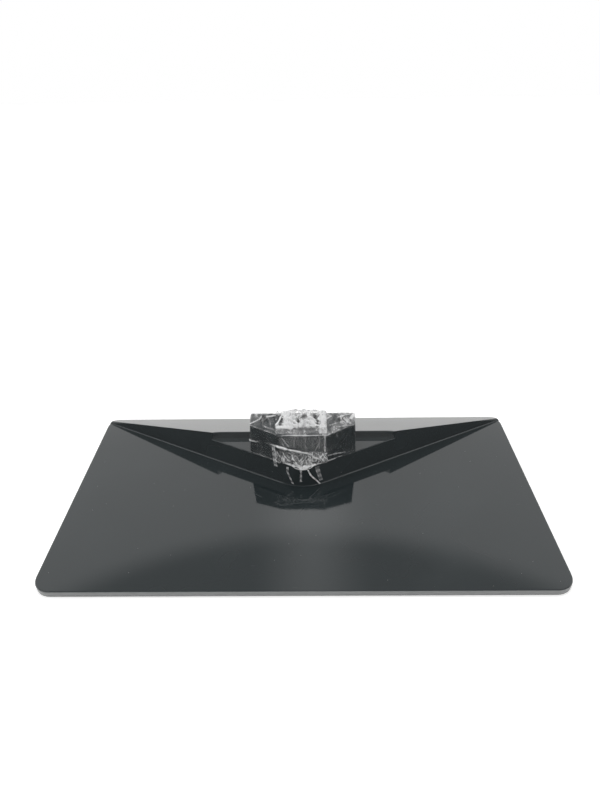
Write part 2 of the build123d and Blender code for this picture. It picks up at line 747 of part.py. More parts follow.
parts = {
    "base_cover": base_cover,
    "base_plate": base_plate,
    "rubber_feet": rubber_feet,
    "base_plate_screws": base_plate_screws,
    "swivel_tower": swivel_tower,
    "tower_screws": tower_screws,
    "pivot_bolt": pivot_bolt,
    "lower_friction_washer": lambda: ring(pocket_floor, disc_bottom, washer_radius_low),
    "upper_friction_washer": lambda: ring(disc_top, spring_bottom, washer_radius_high),
    "disc_spring": disc_spring,
    "retaining_washer": lambda: ring(retaining_bottom, nut_bottom, washer_radius_high),
    "lock_nut": lock_nut,
    "stop_pin": stop_pin,
    "swivel_disc": swivel_disc,
    "neck_bracket": neck_bracket,
    "bracket_screws": bracket_screws,
    "weld_nuts": weld_nuts,
    "locating_tongue": locating_tongue,
    "neck_front_cover": neck_front_cover,
    "neck_rear_cover": neck_rear_cover,
    "front_cover_screws": front_cover_screws,
    "rear_cover_screws": rear_cover_screws,
    "glide_pads": glide_pads,
    "protective_film": protective_film,
}

os.makedirs("parts", exist_ok=True)
for name, make in parts.items():
    export_step(make(), f"parts/{name}.step")
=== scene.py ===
import json
from math import cos, pi, radians, sin, sqrt

import bpy
import numpy as np
from mathutils import Matrix, Vector


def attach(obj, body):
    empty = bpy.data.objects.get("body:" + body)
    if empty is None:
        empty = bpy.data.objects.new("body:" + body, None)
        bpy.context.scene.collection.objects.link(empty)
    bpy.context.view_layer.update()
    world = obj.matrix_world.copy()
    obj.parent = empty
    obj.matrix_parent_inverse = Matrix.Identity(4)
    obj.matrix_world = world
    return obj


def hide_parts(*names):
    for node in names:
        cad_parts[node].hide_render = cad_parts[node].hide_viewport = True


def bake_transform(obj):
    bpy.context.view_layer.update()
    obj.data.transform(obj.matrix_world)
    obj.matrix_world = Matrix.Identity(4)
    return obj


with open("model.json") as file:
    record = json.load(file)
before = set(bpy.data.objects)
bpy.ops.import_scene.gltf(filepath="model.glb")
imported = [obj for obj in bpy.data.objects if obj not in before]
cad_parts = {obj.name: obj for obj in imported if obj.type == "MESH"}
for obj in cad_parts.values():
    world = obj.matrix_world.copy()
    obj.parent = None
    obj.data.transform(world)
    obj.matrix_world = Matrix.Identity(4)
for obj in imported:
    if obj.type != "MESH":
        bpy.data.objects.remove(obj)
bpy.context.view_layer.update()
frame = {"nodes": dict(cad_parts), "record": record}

print("frame loaded:", len(frame["nodes"]), "nodes")

nodes = frame["nodes"]


def deselectAll():
    if bpy.context.mode != "OBJECT":
        bpy.ops.object.mode_set(mode="OBJECT")
    bpy.ops.object.select_all(action="DESELECT")


def pick(piece):
    deselectAll()
    piece.select_set(True)
    bpy.context.view_layer.objects.active = piece


def applyAll(piece):
    pick(piece)
    for modifier in list(piece.modifiers):
        bpy.ops.object.modifier_apply(modifier=modifier.name)


# Shared effects, as node groups that put out masks, heights and facet tones only; the facet tones are painted
# reflections

effectLook = {
    "speckRim": 0.22, "speckCore": 0.08,                             # a speck fades in between these
    "smudgeFrom": 0.45, "smudgeTo": 0.75, "smudgeDetail": 3.0,
    "scratchRim": 0.05, "scratchCore": 0.02, "scratchShare": 0.12, "scratchLong": 26,
    "scratches": ((0.35, 14.0), (1.9, 18.0), (2.7, 11.0)),           # turn and scale of each set
    "warpScale": 90.0, "warpReach": 0.009, "facetRim": 0.75, "facetLow": 0.55,
    "facetLayers": ((0.7, 0.4, 1.0, 0.62), (-0.5, 0.55, 1.7, 0.38))}  # turn, squeeze, scale and weight


def groupTree(name, values, output):        # a Vector input, an input for each value, and one output
    tree = bpy.data.node_groups.new(name, "ShaderNodeTree")
    tree.interface.new_socket(name="Vector", in_out="INPUT", socket_type="NodeSocketVector")
    for label, value in values.items():
        socket = tree.interface.new_socket(name=label, in_out="INPUT", socket_type="NodeSocketFloat")
        socket.default_value = value
    tree.interface.new_socket(name=output, in_out="OUTPUT", socket_type="NodeSocketFloat")
    return tree, tree.nodes.new("NodeGroupInput"), tree.nodes.new("NodeGroupOutput")


def addNode(tree, kind, values=None, **settings):
    node = tree.nodes.new(kind)
    for key, value in settings.items():
        setattr(node, key, value)
    for key, value in (values or {}).items():
        if hasattr(value, "links"):
            tree.links.new(value, node.inputs[key])
        else:
            node.inputs[key].default_value = value
    return node


def stretched(tree, vector, scale, turn=0):
    node = addNode(tree, "ShaderNodeMapping", {"Vector": vector, "Scale": scale, "Rotation": (0, 0, turn)})
    return node.outputs["Vector"]


def ramp(tree, value, low, high, toLow=0.0, toHigh=1.0):
    node = addNode(tree, "ShaderNodeMapRange", {
        "Value": value, "From Min": low, "From Max": high, "To Min": toLow, "To Max": toHigh})
    node.interpolation_type = "SMOOTHSTEP"
    return node.outputs["Result"]


def maths(tree, operation, first, second=0.0, third=0.0):
    return addNode(tree, "ShaderNodeMath", {0: first, 1: second, 2: third}, operation=operation).outputs[0]


def cellTones(tree, cells):                 # three random values for each cell
    return addNode(tree, "ShaderNodeSeparateColor", {"Color": cells.outputs["Color"]}).outputs


def buildDust():
    cfg = effectLook
    tree, inside, outside = groupTree("settledDust", {"Grain": 900.0, "Share": 0.2}, "Mask")
    cells = addNode(tree, "ShaderNodeTexVoronoi", {
        "Vector": inside.outputs["Vector"], "Scale": inside.outputs["Grain"]})
    dots = ramp(tree, cells.outputs["Distance"], cfg["speckRim"], cfg["speckCore"])
    kept = maths(tree, "LESS_THAN", cellTones(tree, cells)[0], inside.outputs["Share"])
    tree.links.new(maths(tree, "MULTIPLY", dots, kept), outside.inputs["Mask"])
    return tree


def buildSmudges():
    cfg = effectLook
    tree, inside, outside = groupTree("handlingSmudges", {"Scale": 9.0}, "Mask")
    wide = addNode(tree, "ShaderNodeTexNoise", {
        "Vector": inside.outputs["Vector"], "Scale": inside.outputs["Scale"], "Detail": cfg["smudgeDetail"]})
    mask = ramp(tree, wide.outputs["Fac"], cfg["smudgeFrom"], cfg["smudgeTo"])
    tree.links.new(mask, outside.inputs["Mask"])
    return tree


def buildHairlines():
    cfg = effectLook
    tree, inside, outside = groupTree("hairlineScratches", {}, "Mask")
    total = 0.0
    for turn, scale in cfg["scratches"]:
        turned = stretched(tree, inside.outputs["Vector"], (scale, scale * cfg["scratchLong"], scale), turn)
        cells = addNode(tree, "ShaderNodeTexVoronoi", {"Vector": turned, "Scale": 1.0})
        line = ramp(tree, cells.outputs["Distance"], cfg["scratchRim"], cfg["scratchCore"])
        kept = maths(tree, "LESS_THAN", cellTones(tree, cells)[1], cfg["scratchShare"])
        total = maths(tree, "MAXIMUM", total, maths(tree, "MULTIPLY", line, kept))
    tree.links.new(total, outside.inputs["Mask"])
    return tree


def buildPeel():
    tree, inside, outside = groupTree("mouldedWaviness", {"Scale": 20.0}, "Height")
    wide = addNode(tree, "ShaderNodeTexNoise", {
        "Vector": inside.outputs["Vector"], "Scale": inside.outputs["Scale"]})
    tree.links.new(wide.outputs["Fac"], outside.inputs["Height"])
    return tree


def buildFacets():                          # crumpled film: facet tones painted lighter and darker, as if each facet caught the light differently, in two layers
    cfg = effectLook
    tree, inside, outside = groupTree("filmFacets", {"Scale": 160.0}, "Facets")
    warp = addNode(tree, "ShaderNodeTexNoise", {
        "Vector": inside.outputs["Vector"], "Scale": cfg["warpScale"]})
    reach = (cfg["warpReach"], cfg["warpReach"], cfg["warpReach"])
    shifted = addNode(tree, "ShaderNodeVectorMath", {
        0: warp.outputs["Color"], 1: reach, 2: inside.outputs["Vector"]}, operation="MULTIPLY_ADD").outputs[0]
    total = 0.0
    for turn, squeeze, scale, weight in cfg["facetLayers"]:
        cells = addNode(tree, "ShaderNodeTexVoronoi", {
            "Vector": stretched(tree, shifted, (1.0, squeeze, 1.0), turn),
            "Scale": maths(tree, "MULTIPLY", inside.outputs["Scale"], scale)})
        slope = ramp(tree, cells.outputs["Distance"], cfg["facetRim"], 0.0, cfg["facetLow"], 1.0)
        tone = maths(tree, "MULTIPLY", cellTones(tree, cells)[0], slope)
        total = maths(tree, "MULTIPLY_ADD", tone, weight, total)
    tree.links.new(total, outside.inputs["Facets"])
    return tree


groups = {
    "dust": buildDust(), "smudges": buildSmudges(), "hairlines": buildHairlines(), "peel": buildPeel(),
    "facets": buildFacets()}
print("shared effects built:", len(groups))


def useGroup(tree, name, values):
    return addNode(tree, "ShaderNodeGroup", values, node_tree=groups[name]).outputs[0]


def newMaterial(name, values):
    material = bpy.data.materials.new(name)
    material.use_nodes = True
    tree = material.node_tree
    shader = tree.nodes["Principled BSDF"]
    for key, value in values.items():
        shader.inputs[key].default_value = value
    coords = addNode(tree, "ShaderNodeTexCoord").outputs["Object"]
    return material, tree, shader, coords


def blend(tree, amount, first, second):
    return addNode(tree, "ShaderNodeMix", {0: amount, 6: first, 7: second}, data_type="RGBA").outputs[2]


def bump(tree, shader, height, strength, distance):
    node = addNode(tree, "ShaderNodeBump", {"Height": height, "Strength": strength, "Distance": distance})
    tree.links.new(node.outputs["Normal"], shader.inputs["Normal"])


def attribute(tree, name):
    return addNode(tree, "ShaderNodeAttribute", attribute_name=name).outputs["Fac"]


glossBlack = {
    "fixed": {"IOR": 1.5, "Coat Weight": 1.0, "Coat Roughness": 0.035, "Coat IOR": 1.5},
    "deep": (0.026, 0.034, 0.0365, 1.0), "hazed": (0.031, 0.04, 0.043, 1.0), "speck": (0.36, 0.37, 0.37, 1.0),
    "edge": (0.3, 0.31, 0.31, 1.0), "paintedReflectionTop": 0.0093, "paintedReflectionFade": 0.0006,    # painted reflection of the white floor: the rim is paler below this height
    "roughness": 0.07, "smudgeScale": 8.0, "smudgeRough": 0.05, "markRough": 0.5, "scratchTone": 0.12,
    "grain": 560.0, "share": 0.004, "peelScale": 26.0, "peelDepth": 0.00012, "peelStrength": 0.35}


def makeGlossBlack():
    cfg = glossBlack
    material, tree, shader, coords = newMaterial("glossBlack", cfg["fixed"])
    smudges = useGroup(tree, "smudges", {"Vector": coords, "Scale": cfg["smudgeScale"]})
    dust = useGroup(tree, "dust", {"Vector": coords, "Grain": cfg["grain"], "Share": cfg["share"]})
    lines = useGroup(tree, "hairlines", {"Vector": coords})
    tone = blend(tree, smudges, cfg["deep"], cfg["hazed"])
    marks = maths(tree, "MAXIMUM", dust, maths(tree, "MULTIPLY", lines, cfg["scratchTone"]))
    height = addNode(tree, "ShaderNodeSeparateXYZ", {0: coords}).outputs["Z"]
    # painted reflection: the cover's low rim is toned pale grey, standing in for the white floor mirrored in
    # its edge
    rim = ramp(tree, height, cfg["paintedReflectionTop"], cfg["paintedReflectionTop"] - cfg["paintedReflectionFade"])
    toned = blend(tree, rim, blend(tree, marks, tone, cfg["speck"]), cfg["edge"])
    tree.links.new(toned, shader.inputs["Base Color"])
    rough = maths(tree, "MULTIPLY_ADD", smudges, cfg["smudgeRough"], cfg["roughness"])
    tree.links.new(maths(tree, "MULTIPLY_ADD", marks, cfg["markRough"], rough), shader.inputs["Roughness"])
    peel = useGroup(tree, "peel", {"Vector": coords, "Scale": cfg["peelScale"]})
    bump(tree, shader, peel, cfg["peelStrength"], cfg["peelDepth"])
    return material


plainLook = {
    "coarser": 8, "detail": 4.0, "from": 0.3, "to": 0.7, "spread": 0.12, "strength": 0.4,
    "satinBlack": ((0.014, 0.014, 0.015, 1), (0.022, 0.022, 0.023, 1), 0.42, 2600.0, 0.00006, 0.0),
    "powderCoat": ((0.02, 0.02, 0.021, 1), (0.034, 0.034, 0.036, 1), 0.5, 1500.0, 0.0001, 0.0),
    "blackenedSteel": ((0.03, 0.03, 0.033, 1), (0.06, 0.06, 0.062, 1), 0.36, 1200.0, 0.00003, 0.7),
    "footRubber": ((0.018, 0.018, 0.018, 1), (0.03, 0.03, 0.03, 1), 0.78, 1800.0, 0.0001, 0.0),
    "naturalNylon": ((0.66, 0.64, 0.58, 1), (0.76, 0.74, 0.69, 1), 0.4, 700.0, 0.00004, 0.0)}


def makePlain(name):                        # an even finish: two tones, roughness, grain, depth, metal
    cfg = plainLook
    low, high, roughness, grain, depth, metal = cfg[name]
    material, tree, shader, coords = newMaterial(name, {"Metallic": metal, "IOR": 1.5})
    tone = addNode(tree, "ShaderNodeTexNoise", {
        "Vector": coords, "Scale": grain / cfg["coarser"], "Detail": cfg["detail"]})
    tree.links.new(blend(tree, tone.outputs["Fac"], low, high), shader.inputs["Base Color"])
    fine = addNode(tree, "ShaderNodeTexNoise", {"Vector": coords, "Scale": grain}).outputs["Fac"]
    rough = ramp(tree, fine, cfg["from"], cfg["to"], roughness - cfg["spread"], roughness + cfg["spread"])
    tree.links.new(rough, shader.inputs["Roughness"])
    bump(tree, shader, fine, cfg["strength"], depth)
    return material


zincLook = {
    "spangle": 160.0, "from": 0.1, "to": 0.7, "dull": (0.5, 0.51, 0.53, 1), "bright": (0.66, 0.66, 0.64, 1),
    "brushed": (30, 900, 900), "brushFrom": 0.3, "brushTo": 0.7, "smooth": 0.26, "rough": 0.42,
    "strength": 0.2, "depth": 0.00005}


def makeZinc():
    cfg = zincLook
    material, tree, shader, coords = newMaterial("zincPlate", {"Metallic": 1.0})
    spangle = addNode(tree, "ShaderNodeTexVoronoi", {"Vector": coords, "Scale": cfg["spangle"]})
    tone = ramp(tree, spangle.outputs["Distance"], cfg["from"], cfg["to"])
    tree.links.new(blend(tree, tone, cfg["dull"], cfg["bright"]), shader.inputs["Base Color"])
    brushed = addNode(tree, "ShaderNodeTexNoise", {
        "Vector": stretched(tree, coords, cfg["brushed"]), "Scale": 1.0}).outputs["Fac"]
    rough = ramp(tree, brushed, cfg["brushFrom"], cfg["brushTo"], cfg["smooth"], cfg["rough"])
    tree.links.new(rough, shader.inputs["Roughness"])
    bump(tree, shader, brushed, cfg["strength"], cfg["depth"])
    return material


filmLook = {
    "clear": (0.06, 0.065, 0.07, 1.0), "milkAndHighlight": (0.97, 0.975, 0.98, 1.0), "fullTone": 0.42,
    "thin": 0.015, "thick": 1.0, "smooth": 0.1, "hazed": 0.26,      # alpha and roughness, clear to milky
    "facet": 170.0, "facetFrom": 0.12, "facetTo": 0.62, "darkFacet": 0.45, "brightFacet": 1.9,
    "facetStrength": 0.5, "facetDepth": 0.0012}


def makeFilm():
    cfg = filmLook
    material, tree, shader, coords = newMaterial("stretchFilm", {"IOR": 1.5, "Specular IOR Level": 0.9})
    facets = useGroup(tree, "facets", {"Vector": coords, "Scale": cfg["facet"]})
    # painted reflections: each facet's haze is raised or lowered as though it caught the light differently
    contrast = ramp(tree, facets, cfg["facetFrom"], cfg["facetTo"], cfg["darkFacet"], cfg["brightFacet"])
    crushed = attribute(tree, "crushed")
    varied = addNode(tree, "ShaderNodeMix", {0: crushed, 2: 1.0, 3: contrast}, data_type="FLOAT").outputs[0]
    milkAndHighlight = maths(tree, "MULTIPLY", attribute(tree, "haze"), varied)
    milkAndHighlight.node.use_clamp = True
    # the film's haze, its painted highlights and its painted facet reflections all take this pale colour
    toned = blend(tree, ramp(tree, milkAndHighlight, 0.0, cfg["fullTone"]), cfg["clear"], cfg["milkAndHighlight"])
    tree.links.new(toned, shader.inputs["Base Color"])
    tree.links.new(ramp(tree, milkAndHighlight, 0.0, 1.0, cfg["thin"], cfg["thick"]), shader.inputs["Alpha"])
    tree.links.new(ramp(tree, milkAndHighlight, 0.0, 1.0, cfg["smooth"], cfg["hazed"]), shader.inputs["Roughness"])
    bump(tree, shader, maths(tree, "MULTIPLY", facets, crushed), cfg["facetStrength"], cfg["facetDepth"])
    return material


materials = {
    "gloss_black": makeGlossBlack(), "clear_film": makeFilm(), "satin_black": makePlain("satinBlack"),
    "steel_plate": makePlain("powderCoat"), "plated_steel": makeZinc(),
    "screw_steel": makePlain("blackenedSteel"), "foot_rubber": makePlain("footRubber"),
    "nylon": makePlain("naturalNylon")}
slots = {entry["node"]: entry["material_slot"] for entry in frame["record"]["subparts"]}
for nodeName, node in nodes.items():
    for slot in node.material_slots:
        slot.material = materials[slots[nodeName]]
print("materials built:", len(materials))


def paint(piece, slotName):
    piece.data.materials.clear()
    piece.data.materials.append(materials[slotName])


def cutLoose(piece):                        # a copy gives up its original's body and node
    for key in [key for key in piece.keys() if key.startswith("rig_")]:
        del piece[key]
    piece.parent = None


def mergePoints(distance):
    bpy.ops.object.mode_set(mode="EDIT")
    bpy.ops.mesh.select_all(action="SELECT")
    bpy.ops.mesh.remove_doubles(threshold=distance)


covers = {
    "merge": 0.000002, "flatAngle": 0.35,   # metres, and degrees up to which faces join into one
    "plateAndRiser": ("base_cover", "base", 17), "neckShell": ("neck_front_cover", "neck", 26),
    "neckBackPanel": ("neck_rear_cover", "neck", 20)}


def smoothCopy(pieceName):                  # a cover's solid with even reflections and soft creases
    cfg = covers
    nodeName, body, smoothAngle = cfg[pieceName]
    pick(nodes[nodeName])
    bpy.ops.object.duplicate()
    piece = bpy.context.view_layer.objects.active
    piece.name = pieceName
    cutLoose(piece)
    mergePoints(cfg["merge"])
    bpy.ops.mesh.dissolve_limited(angle_limit=radians(cfg["flatAngle"]))
    bpy.ops.object.mode_set(mode="OBJECT")
    bpy.ops.object.shade_smooth_by_angle(angle=radians(smoothAngle), keep_sharp_edges=False)
    weighted = piece.modifiers.new("evenReflections", "WEIGHTED_NORMAL")
    weighted.keep_sharp = True
    weighted.mode = "FACE_AREA"
    applyAll(piece)
    paint(piece, slots[nodeName])
    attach(piece, body)
    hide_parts(nodeName)
    return piece


mm = 0.001


def pointValues(piece, kind):               # "co" for the places, "normal" for the ways the points face
    found = np.empty(len(piece.data.vertices) * 3)
    piece.data.vertices.foreach_get(kind, found)
    return found.reshape(-1, 3)


def place(piece, moved):
    piece.data.vertices.foreach_set("co", np.ascontiguousarray(moved).ravel())
    piece.data.update()


def rise(value, low, high):
    share = np.clip((value - low) / (high - low), 0, 1)
    return share * share * (3 - 2 * share)


def between(low, high, share):
    return low + (high - low) * share


waves = {"count": 4, "turn": 2.4, "tilt": 1.7, "first": 0.7, "next": 0.23, "shift": 5.1, "level": 2.6}


def wander(points, length, start):          # a smooth uneven wave from about -1 to 1
    cfg = waves
    total = 0
    for step in range(cfg["count"]):
        angle = start + cfg["turn"] * step
        tilt = cfg["tilt"] * angle
        heading = np.array((cos(angle), sin(angle) * cos(tilt), sin(angle) * sin(tilt)))
        pace = 2 * pi / length * (cfg["first"] + cfg["next"] * step)
        total = total + np.sin(points @ heading * pace + cfg["shift"] * step + start)
    return total / cfg["level"]


foldLook = {
    "gateLength": 4.3, "gateStart": 1.3, "gateStep": 2.1, "gateFrom": -0.45, "gateTo": 0.4,
    "bendLength": 3.1, "bendStart": 0.4, "bendStep": 1.9, "crestFrom": 0.45, "fullHaze": 0.75}


def crumple(points, folds):                 # straight folds with sharp crests, each ending by itself
    cfg = foldLook
    height, crest = 0, 0
    for number, (heading, length, tall, bent) in enumerate(folds):
        heading = np.array(heading) / np.linalg.norm(heading)
        opening = wander(points, length * cfg["gateLength"] * mm, cfg["gateStart"] + cfg["gateStep"] * number)
        gate = rise(opening, cfg["gateFrom"], cfg["gateTo"])
        bend = wander(points, length * cfg["bendLength"] * mm, cfg["bendStart"] + cfg["bendStep"] * number)
        phase = points @ heading / (length * mm) + bent * bend
        saw = 4 * np.abs(phase - np.floor(phase + 0.5)) - 1
        height = height + gate * tall * mm * (saw + 1) / 2
        # crest marks the fold tops, where the film gets painted highlights as extra haze
        crest = np.maximum(crest, gate * rise(saw, cfg["crestFrom"], 1.0))
    return height, crest


def nearness(points, route, width):         # 1 on the route, falling to 0 at the width
    nearest = np.full(len(points), 1.0)
    for start, end in zip(np.array(route[:-1]) * mm, np.array(route[1:]) * mm):
        run = end - start
        along = np.clip((points - start) @ run / (run @ run), 0, 1)
        nearest = np.minimum(nearest, np.linalg.norm(points - start - along[:, None] * run, axis=1))
    return np.clip(1 - nearest / (width * mm), 0, 1)


def drawStrands(points, strands):           # folds laid one by one: route, width, haze and height; the milkiest strands are painted highlights
    haze, lift = 0, 0
    for route, width, milkAndHighlight, tall in strands:
        near = nearness(points, route, width)
        haze = np.maximum(haze, milkAndHighlight * rise(near, 0.0, foldLook["fullHaze"]))
        lift = np.maximum(lift, tall * mm * near)
    return haze, lift


def keepLook(piece, haze, crushed):         # how milky the film is, with painted highlights on crests and strands, and how far its facets differ in painted tone and in bump
    for name, values in (("haze", haze), ("crushed", crushed)):
        layer = piece.data.attributes.new(name, "FLOAT", "POINT")
        layer.data.foreach_set("value", np.clip(values, 0, 1).astype(np.float32))


filmPly = {"ply": 0.00008, "creaseAngle": 24}


def finishFilm(piece, name):
    piece.name = name
    pick(piece)
    bpy.ops.object.shade_smooth_by_angle(angle=radians(filmPly["creaseAngle"]), keep_sharp_edges=False)
    skin = piece.modifiers.new("ply", "SOLIDIFY")
    skin.thickness = filmPly["ply"]
    skin.offset = 1
    applyAll(piece)
    paint(piece, "clear_film")


neckWrap = {                                # sizes in metres, but folds and strands in millimetres
    "stand": 0.0007, "cell": 0.00115, "foot": 0.0402, "merge": 0.00001, "flat": (0.37, 0.053),
    "roofFrom": 0.5, "roofTo": 0.85, "patch": 0.06, "patchStart": 3.0,
    "patchFrom": -0.2, "patchTo": 0.9,
    "rightFrom": -0.02, "rightTo": 0.03, "sideRelief": 0.4, "roofRelief": 0.9,
    "haze": 0.12, "patchHaze": 0.04, "crestHighlight": 0.03,
    "roofHaze": 0.04, "roofPatch": 0.06, "roofCrest": 0.07, "rightHaze": 0.05,
    "crushed": 0.2, "roofCrushed": 0.1, "rightCrushed": 0.06,
    "folds": [
        ((1, 0.2, 0.15), 13, 0.32, 0.5), ((0.5, 0.4, 0.9), 17, 0.3, 0.6), ((0.9, -0.3, -0.5), 9, 0.22, 0.5)],
    # the milkiest strands are painted highlights
    "strands": [
        ([(-72.7, 44.8, 57.9), (-62, 40, 59), (-53.8, 36.6, 61.4), (-42.3, 31.2, 61.8), (-31, 24.8, 61.3)],
         2.0, 0.8, 1.1),
        ([(-67, 43, 66), (-52, 36, 69), (-38, 30, 67)], 8.5, 0.13, 0.2),
        ([(-66, 42, 58), (-60, 38, 50)], 1.4, 0.22, 0.4),
        ([(-71.5, 46.9, 81.5), (-57.7, 54, 83.7), (-54.8, 59, 85)], 1.6, 0.55, 0.5),
        ([(-47.6, 58.9, 85.2), (-36.7, 60.1, 85.5)], 1.8, 0.6, 0.5),
        ([(-62, 63, 86.2), (-44, 64, 86.6), (-24, 62, 86)], 1.5, 0.46, 0.4),
        ([(-51.9, 44, 80.7), (-35.9, 37.7, 78.8)], 2.6, 0.3, 0.3),
        ([(-69.6, 46.7, 80.8), (-50, 38, 78.3), (-30, 29.5, 75.7)], 1.3, 0.36, 0.2),
        ([(30.4, 53.5, 83.5), (37.9, 59, 85.2), (33, 62, 86)], 1.6, 0.5, 0.6),
        ([(47.1, 57.3, 84.7), (64.7, 62.8, 86.4)], 1.7, 0.6, 0.6),
        ([(40, 64, 86.6), (66, 64.5, 86.8)], 1.3, 0.4, 0.3),
        ([(64.3, 55.6, 84.2), (69.4, 63.6, 86.6)], 3.2, 0.95, 0.9),
        ([(71, 60, 84), (71, 50, 80)], 2.2, 0.5, 0.5),
        ([(55, 55.7, 84.3), (59.3, 49.3, 82.4)], 1.9, 0.7, 0.6),
        ([(50, 58, 84.8), (54, 50, 82.5), (63, 47.5, 81.8)], 1.5, 0.45, 0.5),
        ([(43.9, 41.6, 80), (69, 45.3, 81.1)], 1.4, 0.35, 0.4),
        ([(36.1, 44.8, 80.9), (65.6, 54.8, 84)], 1.4, 0.4, 0.4),
        ([(42.3, 35.5, 80), (42.7, 27.4, 44.5)], 1.3, 0.24, 0.5),
        ([(49.1, 36.1, 69.6), (55, 36, 55), (59.1, 35.5, 42.8)], 1.3, 0.14, 0.3),
        ([(44, 33.5, 73), (48, 35.3, 70)], 1.6, 0.4, 0.5),
        ([(32, 21.5, 48.5), (45, 28, 47), (56, 34, 44.5), (58, 35.5, 41.5)], 1.4, 0.42, 0.6),
        ([(58, 35.5, 41.5), (45, 27.5, 40.3), (31, 19.5, 40.2)], 1.5, 0.45, 0.5),
        ([(-70, 41, 40.6), (-55, 32.5, 40.6), (-31, 19.5, 40.4)], 1.4, 0.36, 0.5),
        ([(-66, 38.5, 44), (-50, 30, 42.6), (-36, 23, 42)], 1.1, 0.22, 0.4)]}


def wrapFilm():                             # round the neck, over its roof and down its back
    cfg = neckWrap
    deselectAll()
    for wrapped in (neckShell, neckBackPanel, nodes["rear_cover_screws"]):
        wrapped.select_set(True)
    bpy.context.view_layer.objects.active = neckShell
    bpy.ops.object.duplicate()
    for copied in bpy.context.selected_objects:
        cutLoose(copied)
    bpy.ops.object.join()
    piece = bpy.context.view_layer.objects.active
    mergePoints(cfg["merge"])
    bpy.ops.mesh.convex_hull()              # stretch film bridges every hollow
    bpy.ops.mesh.select_all(action="SELECT")
    bpy.ops.mesh.normals_make_consistent(inside=False)
    bpy.ops.transform.shrink_fatten(value=cfg["stand"])
    bpy.ops.object.mode_set(mode="OBJECT")
    even = piece.modifiers.new("evenCells", "REMESH")
    even.mode = "VOXEL"
    even.voxel_size = cfg["cell"]
    applyAll(piece)
    for face in piece.data.polygons:
        face.select = face.center.z < cfg["foot"]
    bpy.ops.object.mode_set(mode="EDIT")
    bpy.ops.mesh.select_mode(type="FACE")
    bpy.ops.mesh.delete(type="FACE")
    bpy.ops.object.mode_set(mode="OBJECT")
    points, normals = pointValues(piece, "co"), pointValues(piece, "normal")
    roof = rise(normals[:, 2], cfg["roofFrom"], cfg["roofTo"])
    right = roof * rise(points[:, 0], cfg["rightFrom"], cfg["rightTo"])
    patches = rise(wander(points, cfg["patch"], cfg["patchStart"]), cfg["patchFrom"], cfg["patchTo"])
    height, crest = crumple(points, cfg["folds"])
    drawn, lift = drawStrands(points, cfg["strands"])
    haze = cfg["haze"] + cfg["roofHaze"] * roof + cfg["rightHaze"] * right
    haze = haze + patches * (cfg["patchHaze"] + cfg["roofPatch"] * roof)
    # painted highlights: the fold crests are made milkier
    haze = haze + crest * (cfg["crestHighlight"] + cfg["roofCrest"] * roof)
    relief = height * (cfg["sideRelief"] + cfg["roofRelief"] * roof) + lift
    place(piece, points + normals * relief[:, None])
    crushed = cfg["crushed"] + cfg["roofCrushed"] * roof + cfg["rightCrushed"] * right
    keepLook(piece, np.maximum(haze, drawn), crushed)
    finishFilm(piece, "filmWrap")
    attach(piece, "neck")


